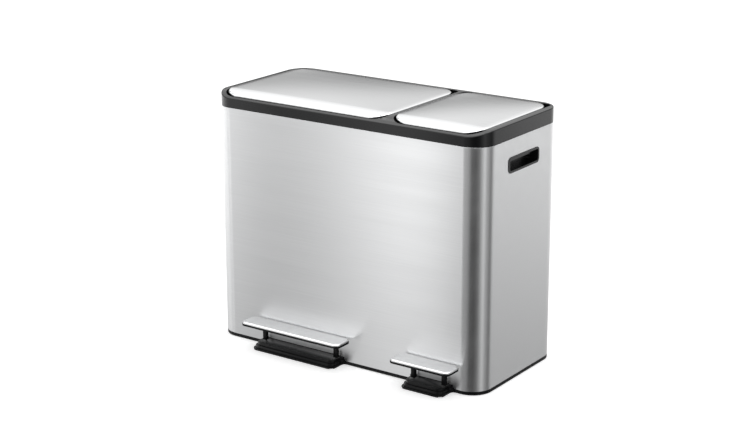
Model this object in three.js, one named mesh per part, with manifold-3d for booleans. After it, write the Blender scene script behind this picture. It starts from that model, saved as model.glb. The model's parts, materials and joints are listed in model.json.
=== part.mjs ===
// A double recycling bin: a rolled steel body under a black top collar, two steel-clad lids, and a
// bucket hanging under each lid. Each pedal lifts its lid through a lever and a rod at the back.
// Millimetres. X runs along the front, the front faces -Y, Z is up and Z = 0 is the floor.
// The model's origin is on the floor in the middle of the whole footprint, treads included.

import * as THREE from 'three';
import { mergeVertices } from 'three/addons/utils/BufferGeometryUtils.js';
import Module from 'manifold-3d';

const wasm = await Module();
wasm.setup();

// ---- Clearances and gauges -------------------------------------------------------------------

const seatGap = 0.3; // between pieces that rest on or in each other
const runningGap = 0.35; // round a pin that turns
const sideGap = 0.4; // beside an arm that swings
const mouldedWall = 2.5; // plastic walls
const shellGauge = 0.8; // steel of the body
const skinGauge = 0.8; // steel of the lids
const treadGauge = 1; // steel of the treads
const leverGauge = 3; // steel of the pedal levers

// ---- Body and base ---------------------------------------------------------------------------

const bodyWidth = 590;
const bodyDepth = 268;
const bodyCorner = 39.5;
const shellHeight = 444;
const footStand = 1; // the base stands this far off the floor on its feet
const stripHeight = 6; // the black strip that shows under the steel
const baseWallHeight = 30; // the base's wall inside the steel
const ribHeight = 8;
const ribWidth = 2.4;
const footRadius = 10;
const footInset = 45;
const footRecess = 1.2;

// ---- Top collar ------------------------------------------------------------------------------

const collarHeight = 27.5;
const browRun = 39.5; // the collar's top rolls down over this much of the front
const browDrop = 9.3;
const rimRound = 1.5;
const shelfDepth = 13.5; // the shelf that the lids close on, below the rim
const shelfWidth = 6;
const bucketSeatDepth = 40; // the ledge that the buckets hang on, below the rim
const bucketLedge = 5;

// ---- Lids ------------------------------------------------------------------------------------

const largeLidShare = 0.6643; // of both lids' width together
const lidSpacing = 11; // between the two lids' steel edges
const lidMarginSide = 13.8;
const lidMarginFront = 7;
const lidMarginRear = 14.5;
const lidCorner = 28;
const lidProud = 1.8; // the lids' edges stand this far above the rim
const lidCrown = 2.7;
const lidEdgeRound = 2.5;
const lidSkirtDepth = 8; // the steel edge's foot, below the rim
const panGauge = 2;
const panFlange = 3;
const panDepth = 11.5; // the pan's foot, below the rim
const wellGap = 1.5; // round a closed lid
const rearWellGap = 5; // behind it, where its rear edge swings down
const wellRearCorner = 12; // sharper than the lid's, which swings back as well as down there

// ---- Hinges and dampers ----------------------------------------------------------------------

const hingeInset = 10; // the hinge axis, in front of the lid's rear edge
const hingeDrop = 10; // and below the lid's top edge
const hingePinRadius = 2;
const knuckleRadius = 4.5;
const knuckleWidth = 9;
const cheekWidth = 3;
const cheekStem = 8;
const bracketInset = 51; // from the lid's ends
const troughRun = 20; // the trough that the hinges stand in, in front of their axis
const damperRadius = 6;
const damperLength = 14;
const bumperLength = 16;
const bumperWidth = 3.6;
const bumperInset = 36;

// ---- Pedals ----------------------------------------------------------------------------------

const treadReach = 46; // how far the treads stand out in front of the body
const treadDepth = 43;
const largeTreadWidth = 225;
const smallTreadWidth = 125;
const treadHeight = 55; // the tread's top above the floor
const treadCorner = 9;
const treadEdgeRound = 3;
const treadSkirt = 4.5;
const treadLip = 2.7; // the black edge that shows under the steel
const pedalOffset = 6; // the pedals' middles lie this far right of the lids' middles
const postWidth = 9;
const postDepth = 7;
const postInset = 30; // from the tread's ends to the posts' middles
const postSetback = 5; // from the tread's rear edge to the posts' middles
const postRearGap = 2.5; // the posts swing towards the body as the pedal goes down
const guardTierHeights = [3.5, 8.7, 14]; // the floor guard's three steps
const guardReach = 38;
const guardOverhang = 18.5; // the tread is longer than its floor guard by this at each end
const guardStepBack = 3.6;
const guardStepSide = 2.4;
const guardWall = 1.2;
const guardCorner = 11;
const guardFlare = 6;
const notchInset = 8; // the shell's notch round a guard, from the tread's ends
const notchCurve = 17;
const notchHeight = 8.3;
const slotMargin = 1;

// ---- Pedal levers and rods -------------------------------------------------------------------

const pivotSetback = 38; // the pedal axle, behind the body's front
const pivotHeight = 24;
const axleRadius = 3;
const sleeveWall = 2.3;
const tongueWidth = 14;
const tongueShift = 2; // towards the middle of the pedal, so that the guard covers it
const tongueHeight = 9.5;
const tongueOverrun = 6; // the tongue goes this far in front of the post's middle
const tailWidth = 20;
const tailRoot = 56;
const earWidth = 3;
const earRadius = 4.5;
const bearingCheek = 3;
const bearingRadius = 8;
const rodRadius = 2;
const rodBend = 4;
const rodHook = 14; // the length of the bent ends, across the rod
const rodToEar = 5;
const leverPlateWidth = 3.5;
const leverPlateMargin = 3.2;
const hookSlotGap = 1.4;
const guideGap = 2;
const screwHeadRadius = 3.4;
const screwHeadHeight = 1.6;
const screwRadius = 1.7;
const screwLength = 16;

// ---- Side grips and buckets ------------------------------------------------------------------

const gripWidth = 105;
const gripHeight = 29;
const gripCorner = 8;
const gripBelowRim = 74; // the grip's middle, below the rim
const gripOffset = 2.5; // its middle lies this far behind the body's middle
const gripRim = 2;
const gripRimProud = 0.9;
const gripDepth = 19;
const gripWall = 1.8;
const gripLip = 7; // the lip that the fingers pull on
const bucketWall = 2;
const bucketLeverGap = 28.85; // between the pedal levers and the buckets' feet
const bucketTaper = 7;
const bucketCorner = 22;
const bucketRim = 5;
const bucketSlack = 1.2;
const bucketRodGap = 6;
const bucketFloorRound = 10;
const handHoleWidth = 90;
const handHoleHeight = 20;
const handHoleDrop = 29;

// ---- Motion ----------------------------------------------------------------------------------

const lidTravel = THREE.MathUtils.degToRad(80);
const pedalTravel = THREE.MathUtils.degToRad(9.5);

// ---- Levels and areas that follow from the sizes above -----------------------------------------

const stripTop = footStand + stripHeight;
const plateTop = footStand + mouldedWall;
const shellTop = stripTop + shellHeight;
const rimTop = shellTop + collarHeight;
const shelfTop = rimTop - shelfDepth;
const seatTop = rimTop - bucketSeatDepth;
const panFoot = rimTop - panDepth;
const frontY = -bodyDepth / 2;
const browStart = frontY + browRun;
const browRadius = (browRun ** 2 + browDrop ** 2) / (2 * browDrop);
const sleeveRadius = axleRadius + runningGap + sleeveWall;
const skirtInset = shellGauge + seatGap;
const hollowInset = skirtInset + mouldedWall;

const bodyArea = {
  x0: -bodyWidth / 2,
  x1: bodyWidth / 2,
  y0: frontY,
  y1: bodyDepth / 2,
};
const guardTop = footStand + guardTierHeights.at(-1);
const treadArea = { y0: frontY - treadReach, y1: frontY - treadReach + treadDepth };
const postY = treadArea.y1 - postSetback;
const axleY = frontY + pivotSetback;

// Height of the collar's top: level, then rolling down towards the front.
function rimSurface(y) {
  const beyond = Math.min(Math.max(0, browStart - y), browRadius);
  return rimTop - browRadius + Math.sqrt(browRadius ** 2 - beyond ** 2);
}

function grow(area, by) {
  return { x0: area.x0 - by, x1: area.x1 + by, y0: area.y0 - by, y1: area.y1 + by };
}

// One lid with the pedal that opens it. All of its hinge, lever and bucket places follow from
// the lid's two ends and the tread's width.
function station(name, x0, x1, treadWidth) {
  const area = { x0, x1, y0: frontY + lidMarginFront, y1: bodyArea.y1 - lidMarginRear };
  const well = { ...grow(area, wellGap), y1: area.y1 + rearWellGap };
  const tub = { ...grow(well, -shelfWidth), y1: well.y1 };
  const hinge = { y: area.y1 - hingeInset, z: rimTop + lidProud - hingeDrop };
  // The lid's lever arm swings evenly below and above the level of the hinge, so that the rod
  // stays upright. Its length and the lever's tail follow from each other.
  const swing = lidTravel / 2;
  const gain = Math.sin(pedalTravel / 2) / Math.sin(swing);
  const tailLength = (hinge.y - axleY) / (1 + gain * Math.cos(swing));
  const armLength = tailLength * gain;
  const rod = {
    y: axleY + tailLength,
    lowZ: pivotHeight - tailLength * Math.sin(pedalTravel / 2),
    highZ: hinge.z - armLength * Math.sin(swing),
  };
  const bucketRear = rod.y - rodRadius - bucketRodGap;
  const opening = { ...grow(tub, -bucketLedge), y1: bucketRear - bucketLedge };
  const centre = (x0 + x1) / 2 + pedalOffset;
  const tread = { x0: centre - treadWidth / 2, x1: centre + treadWidth / 2, ...treadArea };
  const posts = [tread.x0 + postInset, tread.x1 - postInset];
  const tongues = [posts[0] + tongueShift, posts[1] - tongueShift];
  const brackets = [x0 + bracketInset, x1 - bracketInset];
  const rim = { ...grow(tub, -bucketSlack), y1: bucketRear };
  return {
    name,
    area,
    well,
    tub,
    hinge,
    armLength,
    rod,
    opening,
    rim,
    centre,
    tread,
    posts,
    tongues,
    brackets,
  };
}

const lidsLeft = bodyArea.x0 + lidMarginSide;
const lidsRight = bodyArea.x1 - lidMarginSide;
const toTenth = (value) => Math.round(value * 10) / 10;
const largeLidRight = toTenth(lidsLeft + (lidsRight - lidsLeft - lidSpacing) * largeLidShare);
const stations = [
  station('large', lidsLeft, largeLidRight, largeTreadWidth),
  station('small', largeLidRight + lidSpacing, lidsRight, smallTreadWidth),
];

// ---- Materials -------------------------------------------------------------------------------

function material(color, roughness, metalness) {
  return () => new THREE.MeshStandardMaterial({ color, roughness, metalness });
}
const brushedSteel = material(0xc9cacb, 0.32, 1);
const plainSteel = material(0x9a9c9f, 0.4, 1);
const blackPlastic = material(0x17181a, 0.38, 0);
const greyPlastic = material(0x3c3e41, 0.55, 0);
const rubber = material(0x101010, 0.85, 0);

// ---- Shapes ----------------------------------------------------------------------------------

const grid = 1e-3;
const finest = 0.02; // features smaller than this are smoothed away
const over = 1; // how far a cutter runs past what it cuts, or a joined shape into its neighbour
const high = rimTop + 60;

// Corners are set on a fine grid, so that faces meant to lie in one plane do so exactly.
function toSolid(geometry) {
  const plain = geometry.clone();
  plain.deleteAttribute('normal');
  plain.deleteAttribute('uv');
  const merged = mergeVertices(plain);
  return new wasm.Manifold(
    new wasm.Mesh({
      numProp: 3,
      vertProperties: merged.attributes.position.array.map((v) => Math.round(v / grid) * grid),
      triVerts: new Uint32Array(merged.index.array),
    }),
  );
}

function toGeometry(solid) {
  const mesh = solid.simplify(finest).getMesh();
  const geometry = new THREE.BufferGeometry();
  geometry.setAttribute('position', new THREE.BufferAttribute(mesh.vertProperties, 3));
  geometry.setIndex(new THREE.BufferAttribute(mesh.triVerts, 1));
  geometry.computeVertexNormals();
  return geometry;
}

// Points round a rounded rectangle, anticlockwise. Its straight sides can be divided too, and
// its two rear corners can have a radius of their own.
function outline(area, radius, arcSteps = 6, sideSteps = 1, rearRadius = radius) {
  const limit = Math.min(area.x1 - area.x0, area.y1 - area.y0) / 2 - 0.1;
  const [front, rear] = [radius, rearRadius].map((r) => Math.max(0.2, Math.min(r, limit)));
  const corners = [
    [area.x1 - rear, area.y1 - rear, rear],
    [area.x0 + rear, area.y1 - rear, rear],
    [area.x0 + front, area.y0 + front, front],
    [area.x1 - front, area.y0 + front, front],
  ];
  const points = [];
  corners.forEach(([cx, cy, r], quarter) => {
    for (let step = 0; step <= arcSteps; step++) {
      const angle = ((quarter + step / arcSteps) * Math.PI) / 2;
      points.push([cx + r * Math.cos(angle), cy + r * Math.sin(angle)]);
    }
    const [nextX, nextY, nextR] = corners[(quarter + 1) % 4];
    const end = ((quarter + 1) * Math.PI) / 2;
    const start = [cx + r * Math.cos(end), cy + r * Math.sin(end)];
    const stop = [nextX + nextR * Math.cos(end), nextY + nextR * Math.sin(end)];
    for (let step = 1; step < sideSteps; step++) {
      const share = step / sideSteps;
      points.push([
        start[0] + (stop[0] - start[0]) * share,
        start[1] + (stop[1] - start[1]) * share,
      ]);
    }
  });
  return points;
}

function shapeOf(points) {
  return new THREE.Shape(points.map(([x, y]) => new THREE.Vector2(x, y)));
}

// An outline in plan, pulled up from z0 to z1.
function prism(points, z0, z1) {
  const options = { depth: z1 - z0, bevelEnabled: false };
  return toSolid(new THREE.ExtrudeGeometry(shapeOf(points), options).translate(0, 0, z0));
}

function roundedBlock(area, radius, z0, z1, arcSteps) {
  return prism(outline(area, radius, arcSteps), z0, z1);
}

// A side profile given as [y, z] points, pulled along X.
function slab(profile, x0, x1) {
  const options = { depth: x1 - x0, bevelEnabled: false };
  const turn = new THREE.Matrix4().makeBasis(
    new THREE.Vector3(0, 1, 0),
    new THREE.Vector3(0, 0, 1),
    new THREE.Vector3(1, 0, 0),
  );
  const geometry = new THREE.ExtrudeGeometry(shapeOf(profile), options).applyMatrix4(turn);
  return toSolid(geometry.translate(x0, 0, 0));
}

function box(x0, x1, y0, y1, z0, z1) {
  const geometry = new THREE.BoxGeometry(x1 - x0, y1 - y0, z1 - z0);
  return toSolid(geometry.translate((x0 + x1) / 2, (y0 + y1) / 2, (z0 + z1) / 2));
}

function barAlongX(radius, x0, x1, y, z, sides = 20) {
  const geometry = new THREE.CylinderGeometry(radius, radius, x1 - x0, sides);
  return toSolid(geometry.rotateZ(Math.PI / 2).translate((x0 + x1) / 2, y, z));
}

function upright(radius, x, y, z0, z1, sides = 20) {
  const geometry = new THREE.CylinderGeometry(radius, radius, z1 - z0, sides);
  return toSolid(geometry.rotateX(Math.PI / 2).translate(x, y, (z0 + z1) / 2));
}

// Rings with the same number of points, joined one to the next and closed over at both ends.
function loft(rings) {
  const count = rings[0].length;
  const last = (rings.length - 1) * count;
  const faces = [];
  for (let start = 0; start < last; start += count) {
    for (let k = 0; k < count; k++) {
      const a = start + k;
      const b = start + ((k + 1) % count);
      faces.push(a, b, b + count, a, b + count, a + count);
    }
  }
  for (let k = 1; k < count - 1; k++) {
    faces.push(0, k + 1, k, last, last + k, last + k + 1);
  }
  const geometry = new THREE.BufferGeometry();
  geometry.setAttribute('position', new THREE.Float32BufferAttribute(rings.flat(2), 3));
  geometry.setIndex(faces);
  return toSolid(geometry);
}

function unite(solids) {
  return solids.reduce((sum, solid) => sum.add(solid));
}

// A thin cap: a flat foot, upright sides, a rounded edge, and a top that follows surface(x, y).
// Its top is drawn by rings, each the edge's outline shrunk to a share of its size.
// The underside's edge is a plain chamfer, and so is the top's where edgeSteps is 1.
function cap({ area, radius, surface, footZ, gauge, edgeRound, edgeSteps, shares, sideSteps = 1 }) {
  const middle = [(area.x0 + area.x1) / 2, (area.y0 + area.y1) / 2];
  const pillow = (inset, round, steps, foot) => {
    const at = (by) => outline(grow(area, -inset - by), radius - inset - by, 4, sideSteps);
    const level = ([x, y], below) => [x, y, surface(x, y) - inset - below];
    const edge = Array.from({ length: steps + 1 }, (_, step) => {
      const turn = ((step / steps) * Math.PI) / 2;
      return at(round * (1 - Math.cos(turn))).map((p) => level(p, round * (1 - Math.sin(turn))));
    });
    const inner = shares.map((share) =>
      at(round).map(([x, y]) =>
        level([middle[0] + (x - middle[0]) * share, middle[1] + (y - middle[1]) * share], 0),
      ),
    );
    return loft([at(0).map(([x, y]) => [x, y, foot]), ...edge, ...inner]);
  };
  const outside = pillow(0, edgeRound, edgeSteps, footZ);
  const inside = pillow(gauge, Math.max(edgeRound - gauge, seatGap), 1, footZ - over);
  return outside.subtract(inside);
}

// A round bar bent in an XZ plane, from its path's points [x, z].
function bentBar(path, y, radius, sides = 10) {
  const rings = path.map(([x, z], k) => {
    const before = path[Math.max(k - 1, 0)];
    const after = path[Math.min(k + 1, path.length - 1)];
    const a = new THREE.Vector2(x - before[0], z - before[1]).normalize();
    const b = new THREE.Vector2(after[0] - x, after[1] - z).normalize();
    const along = a.clone().add(b).normalize();
    const stretch = 1 / Math.max(0.5, along.dot(k === 0 ? b : a));
    return Array.from({ length: sides }, (_, side) => {
      const angle = (side / sides) * 2 * Math.PI;
      const across = radius * Math.cos(angle) * stretch;
      return [x + along.y * across, y + radius * Math.sin(angle), z - along.x * across];
    });
  });
  return loft(rings);
}

// ---- Body shell ------------------------------------------------------------------------------

// Where the levers' tongues pass under the steel: cutters across the front.
function tongueSlots(z0, z1, y0, y1) {
  const half = tongueWidth / 2 + slotMargin;
  const cut = (x) => box(x - half, x + half, y0, y1, z0, z1);
  return unite(stations.flatMap(({ tongues }) => tongues.map(cut)));
}

// The steel's lower edge is cut away above each floor guard, with a concave curve at both ends.
// The same outline, a gap smaller, fills the notch with the base's plastic.
function notch({ tread }, gap, y0, y1) {
  const [left, right] = [tread.x0 + notchInset + gap, tread.x1 - notchInset - gap];
  const top = stripTop + seatGap + notchHeight - gap;
  const steps = 6;
  const curve = Array.from({ length: steps + 1 }, (_, step) => {
    const turn = ((step / steps) * Math.PI) / 2;
    const rise = top - stripTop;
    return [notchCurve * Math.sin(turn), top - rise * Math.sin(Math.PI / 2 - turn)];
  });
  const outlinePoints = [
    [left, stripTop - over],
    ...curve.map(([x, z]) => [left + x, z]),
    ...curve.reverse().map(([x, z]) => [right - x, z]),
    [right, stripTop - over],
  ];
  const options = { depth: y1 - y0, bevelEnabled: false };
  const geometry = new THREE.ExtrudeGeometry(shapeOf(outlinePoints), options);
  return toSolid(geometry.rotateX(Math.PI / 2).translate(0, y1, 0));
}

// The grip's outline stands in a YZ plane; this cuts or fills it from x0 to x1.
function gripPrism(by, x0, x1) {
  const middle = rimTop - gripBelowRim;
  const area = grow(
    {
      x0: gripOffset - gripWidth / 2,
      x1: gripOffset + gripWidth / 2,
      y0: middle - gripHeight / 2,
      y1: middle + gripHeight / 2,
    },
    by,
  );
  return slab(outline(area, gripCorner + by, 6), x0, x1);
}

function bodyShell() {
  const outside = roundedBlock(bodyArea, bodyCorner, stripTop + seatGap, shellTop, 12);
  const insideArea = grow(bodyArea, -shellGauge);
  const inside = roundedBlock(insideArea, bodyCorner - shellGauge, 0, high, 12);
  const gripHoles = gripPrism(-gripRim, -bodyWidth, bodyWidth);
  const notches = stations.map((place) => notch(place, 0, frontY - over, frontY + bodyCorner / 2));
  return outside.subtract(unite([inside, gripHoles, ...notches]));
}

// ---- Base moulding ---------------------------------------------------------------------------

// A stepped guard on the floor under each tread, flaring out where it meets the body.
function guard(place) {
  const { tread } = place;
  const behindSteel = frontY - seatGap;
  const tier = (step, inset, z1) => {
    const side = guardOverhang + step * guardStepSide + inset;
    const rear = inset > 0 || z1 > stripTop ? behindSteel : frontY + over;
    const area = {
      x0: tread.x0 + side,
      x1: tread.x1 - side,
      y0: frontY - guardReach + step * guardStepBack + inset,
      y1: frontY + guardCorner * 2,
    };
    const block = roundedBlock(area, guardCorner - inset, footStand, z1, 4);
    const kept = box(area.x0 - over, area.x1 + over, area.y0 - over, rear, 0, z1 + over);
    return { area, rear, solid: block.intersect(kept) };
  };
  const flares = ({ area, rear }, z1) =>
    [-1, 1].map((side) => {
      const near = side < 0 ? area.x0 : area.x1;
      const far = near + side * guardFlare;
      const [left, right] = side < 0 ? [far, near + over] : [near - over, far];
      const front = Math.min(rear, frontY) - guardFlare;
      const block = box(left, right, front, rear, footStand, z1);
      return block.subtract(upright(guardFlare - seatGap, far, front, 0, z1 + over, 16));
    });
  const outside = guardTierHeights.flatMap((height, step) => {
    const built = tier(step, 0, footStand + height);
    return [built.solid, ...flares(built, footStand + height)];
  });
  const roof = guardTop - tongueHeight - leverGauge - seatGap;
  const inside = guardTierHeights.map(
    (height, step) => tier(step, guardWall, footStand + height - roof).solid,
  );
  const floor = { ...tier(0, guardWall, guardTop).area, y1: behindSteel };
  const open = roundedBlock(floor, guardCorner / 2, 0, footStand + over, 4);
  return unite(outside).subtract(unite([open, ...inside]));
}

// Openings in the guards' tops that the posts go down through.
function postSlots() {
  const halfX = postWidth / 2 + seatGap * 2;
  const y0 = postY - postDepth / 2 - slotMargin;
  const y1 = postY + postDepth / 2 + postRearGap;
  const cut = (x) => box(x - halfX, x + halfX, y0, y1, tongueHeight, guardTop + over);
  return unite(stations.flatMap(({ posts }) => posts.map(cut)));
}

function leverHalf({ tongues }) {
  return (tongues[1] - tongues[0] + tongueWidth) / 2;
}

// Upright cheeks on the base that carry a pedal axle.
function bearings(place) {
  const half = leverHalf(place) + sideGap;
  const profile = [
    [axleY - bearingRadius * 1.6, plateTop - over],
    [axleY + bearingRadius * 1.6, plateTop - over],
    [axleY + bearingRadius, pivotHeight],
    [axleY + bearingRadius * 0.6, pivotHeight + bearingRadius * 0.8],
    [axleY - bearingRadius * 0.6, pivotHeight + bearingRadius * 0.8],
    [axleY - bearingRadius, pivotHeight],
  ];
  const hole = axleRadius + seatGap;
  return [-1, 1].map((side) => {
    const near = place.centre + side * half;
    const far = near + side * bearingCheek;
    const [x0, x1] = [Math.min(near, far), Math.max(near, far)];
    return slab(profile, x0, x1).subtract(barAlongX(hole, x0 - over, x1 + over, axleY, pivotHeight));
  });
}

function baseRibs() {
  const [large, small] = stations.map((place) => {
    const half = leverHalf(place) + sideGap + bearingCheek;
    return { x0: place.centre - half, x1: place.centre + half };
  });
  const places = [
    (bodyArea.x0 + large.x0) / 2,
    large.x1 + (small.x0 - large.x1) / 3,
    large.x1 + ((small.x0 - large.x1) * 2) / 3,
    (bodyArea.x1 + small.x1) / 2,
  ];
  return places.map((x) => {
    const y = bodyDepth / 2 - hollowInset + seatGap;
    return box(x - ribWidth / 2, x + ribWidth / 2, -y, y, plateTop - over, plateTop + ribHeight);
  });
}

const footPlaces = [-1, 1].flatMap((sideX) =>
  [-1, 1].map((sideY) => [
    sideX * (bodyWidth / 2 - footInset),
    sideY * (bodyDepth / 2 - footInset),
  ]),
);

function baseMoulding() {
  const strip = roundedBlock(bodyArea, bodyCorner, footStand, stripTop, 12);
  const wallArea = grow(bodyArea, -skirtInset);
  const wallTop = stripTop + baseWallHeight;
  const wall = roundedBlock(wallArea, bodyCorner - skirtInset, stripTop - over, wallTop, 12);
  const hollowArea = grow(bodyArea, -hollowInset);
  const hollow = roundedBlock(hollowArea, bodyCorner - hollowInset, plateTop, high, 12);
  const tray = strip.add(wall).subtract(hollow);
  const slotTop = tongueHeight + leverGauge + slotMargin;
  const slots = tongueSlots(0, slotTop, frontY - over * 2, frontY + hollowInset + over);
  const pockets = footPlaces.map(([x, y]) =>
    upright(footRadius + seatGap, x, y, 0, footStand + footRecess, 24),
  );
  const notchFills = stations.map((place) =>
    notch(place, seatGap, frontY - seatGap - over / 2, frontY + skirtInset + over),
  );
  return unite([tray, ...stations.map(guard), ...notchFills, ...baseRibs()])
    .subtract(unite([slots, postSlots(), ...pockets]))
    .add(unite(stations.flatMap(bearings)));
}

// ---- Top collar ------------------------------------------------------------------------------

// Everything below the collar's rolled top, lowered by some amount.
function underBrow(lowered) {
  const profile = [
    [bodyDepth, 0],
    [bodyDepth, rimTop - lowered],
  ];
  const steps = 10;
  const reach = Math.min(browRun + 4, browRadius);
  for (let step = 0; step <= steps; step++) {
    const y = browStart - (reach * step) / steps;
    profile.push([y, rimSurface(y) - lowered]);
  }
  profile.push([browStart - reach, 0]);
  return slab(profile.reverse(), -bodyWidth, bodyWidth);
}

function collarBand() {
  const ring = (inset, level) =>
    outline(grow(bodyArea, -inset), bodyCorner - inset, 12).map(([x, y]) => [x, y, level(y)]);
  const edge = [0, 0.5, 1].map((share) => {
    const turn = (share * Math.PI) / 2;
    const inset = rimRound * (1 - Math.cos(turn));
    const below = rimRound * (1 - Math.sin(turn));
    return ring(inset, (y) => rimSurface(y) - below);
  });
  const foot = ring(0, () => shellTop + seatGap);
  const above = ring(rimRound, () => high);
  return loft([foot, ...edge, above]).intersect(underBrow(0));
}

const wellCorner = lidCorner + wellGap;
const tubCorner = wellCorner - shelfWidth;

// The space under one lid: the well that it lies in, the tub below, and the trough at the back
// where its hinges and its rear edge swing. Grown by a wall, the same shapes make its walls.
function lidSpace({ well, tub, hinge }, wall, floorZ, shelfZ) {
  const [front, rear] = [wellCorner + wall, wellRearCorner + wall];
  const plan = outline(grow(well, wall), front, 6, 1, rear);
  const upper = prism(plan, shelfZ, high);
  const lower = roundedBlock(grow(tub, wall), tubCorner + wall, floorZ, shelfZ + over);
  const reach = hinge.y - troughRun - wall;
  const behind = box(-bodyWidth, bodyWidth, reach, bodyDepth, 0, high);
  const trough = prism(plan, floorZ, shelfZ + over).intersect(behind);
  return unite([upper, lower, trough]);
}

// Cheeks that hold a hinge pin. They reach it from the front, because the lid's rear edge swings
// through the space behind and below it.
function hingeCheeks({ hinge, brackets }) {
  const eye = knuckleRadius;
  const from = (y, z) => [hinge.y + y, hinge.z + z];
  const foot = seatTop - over - hinge.z;
  const stem = [
    from(-eye - cheekStem, foot),
    from(-eye + 0.4, foot),
    from(-eye + 0.4, -eye - 1.5),
    from(-1, -eye + 0.1),
    from(-eye + 0.8, eye * 0.55),
    from(-eye - cheekStem, -eye * 2),
  ];
  const profileCheek = (x0, x1) =>
    slab(stem, x0, x1)
      .add(barAlongX(eye, x0, x1, hinge.y, hinge.z))
      .subtract(barAlongX(hingePinRadius + seatGap, x0 - over, x1 + over, hinge.y, hinge.z, 16));
  return brackets.flatMap((x) =>
    [-1, 1].map((side) => {
      const near = x + side * (knuckleWidth / 2 + sideGap);
      const far = near + side * cheekWidth;
      return profileCheek(Math.min(near, far), Math.max(near, far));
    }),
  );
}

function topCollar() {
  const seatFoot = seatTop - mouldedWall;
  const skirt = roundedBlock(
    grow(bodyArea, -skirtInset),
    bodyCorner - skirtInset,
    seatFoot,
    shellTop + seatGap + over,
    12,
  );
  const walls = stations.map((place) =>
    lidSpace(place, mouldedWall, seatFoot, shelfTop - mouldedWall),
  );
  const hollow = roundedBlock(
    grow(bodyArea, -hollowInset),
    bodyCorner - hollowInset,
    0,
    high,
    12,
  )
    .intersect(underBrow(mouldedWall))
    .subtract(unite(walls));
  const spaces = stations.map((place) => lidSpace(place, 0, seatTop, shelfTop));
  const openings = stations.map(({ opening }) =>
    roundedBlock(opening, tubCorner - bucketLedge, 0, seatTop + over, 6),
  );
  const guide = rodRadius + guideGap;
  const rodHoles = stations.map(({ centre, rod }) =>
    box(centre - guide, centre + guide, rod.y - guide, rod.y + guide, 0, seatTop + over),
  );
  return skirt
    .add(collarBand())
    .subtract(unite([hollow, ...spaces, ...openings, ...rodHoles]))
    .add(unite(stations.flatMap(hingeCheeks)));
}

// ---- Lids ------------------------------------------------------------------------------------

function lidSurface(area) {
  const halfX = (area.x1 - area.x0) / 2;
  const halfY = (area.y1 - area.y0) / 2;
  return (x, y) => {
    const u = (x - area.x0) / halfX - 1;
    const v = (y - area.y0) / halfY - 1;
    return rimSurface(y) + lidProud + lidCrown * (1 - u * u) * (1 - v * v);
  };
}

const skirtFoot = rimTop - lidSkirtDepth;
// Close together over the front, where the lid rolls down.
const lidRings = { shares: [0.91, 0.82, 0.73, 0.42, 0.1], sideSteps: 3 };

function lidSkin({ area }) {
  return cap({
    area,
    radius: lidCorner,
    surface: lidSurface(area),
    footZ: skirtFoot,
    gauge: skinGauge,
    edgeRound: lidEdgeRound,
    edgeSteps: 3,
    ...lidRings,
  });
}

// The plate under the lid that the rod pushes up. The rod's hook slides a little along its slot.
function lidLever({ area, hinge, armLength, rod, centre }) {
  const swing = lidTravel / 2;
  const direction = [-Math.cos(swing), -Math.sin(swing)];
  const pin = [hinge.y + direction[0] * armLength, hinge.z + direction[1] * armLength];
  const top = lidSurface(area)(centre, rod.y) - skinGauge - seatGap - panGauge / 2;
  const half = rodRadius + hookSlotGap;
  const margin = half + leverPlateMargin;
  const plate = [
    [pin[0] - margin, top],
    [pin[0] - margin, pin[1] - margin - over],
    [pin[0] + margin / 2, pin[1] - margin - over],
    [hinge.y - margin, hinge.z - armLength * 0.42],
    [hinge.y - margin, top],
  ];
  const shortest = armLength * Math.cos(swing);
  const normal = [direction[1] * half, -direction[0] * half];
  const at = (reach, side) => [
    hinge.y + direction[0] * reach + side * normal[0],
    hinge.z + direction[1] * reach + side * normal[1],
  ];
  const x0 = centre + rodToEar;
  const x1 = x0 + leverPlateWidth;
  const slot = [at(shortest, -1), at(armLength, -1), at(armLength, 1), at(shortest, 1)];
  const bar = (reach) => {
    const [y, z] = at(reach, 0);
    return barAlongX(half, x0 - over, x1 + over, y, z, 16);
  };
  return slab(plate, x0, x1)
    .subtract(slab(slot.reverse(), x0 - over, x1 + over))
    .subtract(bar(shortest).add(bar(armLength)));
}

function lidPan(place) {
  const { area, hinge, brackets } = place;
  const inset = skinGauge + seatGap;
  const top = lidSurface(area);
  const sheet = cap({
    area: grow(area, -inset),
    radius: lidCorner - inset,
    surface: (x, y) => top(x, y) - inset,
    footZ: panFoot,
    gauge: panGauge,
    edgeRound: lidEdgeRound - skinGauge,
    edgeSteps: 1,
    ...lidRings,
  });
  const flange = roundedBlock(area, lidCorner, panFoot, skirtFoot - seatGap, 5).subtract(
    roundedBlock(grow(area, -panFlange), lidCorner - panFlange, 0, high, 5),
  );
  const sheetZ = hinge.z + hingeDrop - inset - panGauge / 2;
  const knuckles = brackets.map((x) => {
    const [x0, x1] = [x - knuckleWidth / 2, x + knuckleWidth / 2];
    const web = box(x0, x1, hinge.y - knuckleRadius, hinge.y + knuckleRadius, hinge.z, sheetZ);
    return barAlongX(knuckleRadius, x0, x1, hinge.y, hinge.z).add(web);
  });
  const bores = brackets.map((x) => {
    const reach = knuckleWidth / 2 + over;
    return barAlongX(hingePinRadius + runningGap, x - reach, x + reach, hinge.y, hinge.z, 16);
  });
  return unite([sheet, flange, lidLever(place), ...knuckles]).subtract(unite(bores));
}

function hingePin(length) {
  return barAlongX(hingePinRadius, 0, length, 0, 0, 16);
}

function lidDamper() {
  const bore = barAlongX(hingePinRadius + seatGap, -over, damperLength + over, 0, 0, 16);
  return barAlongX(damperRadius, 0, damperLength, 0, 0, 24).subtract(bore);
}

function lidBumper() {
  const area = {
    x0: -bumperLength / 2,
    x1: bumperLength / 2,
    y0: -bumperWidth / 2,
    y1: bumperWidth / 2,
  };
  return roundedBlock(area, bumperWidth / 2, 0, panFoot - shelfTop - 2 * seatGap, 4);
}

// ---- Pedals ----------------------------------------------------------------------------------

const treadFoot = treadHeight - treadSkirt;

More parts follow.
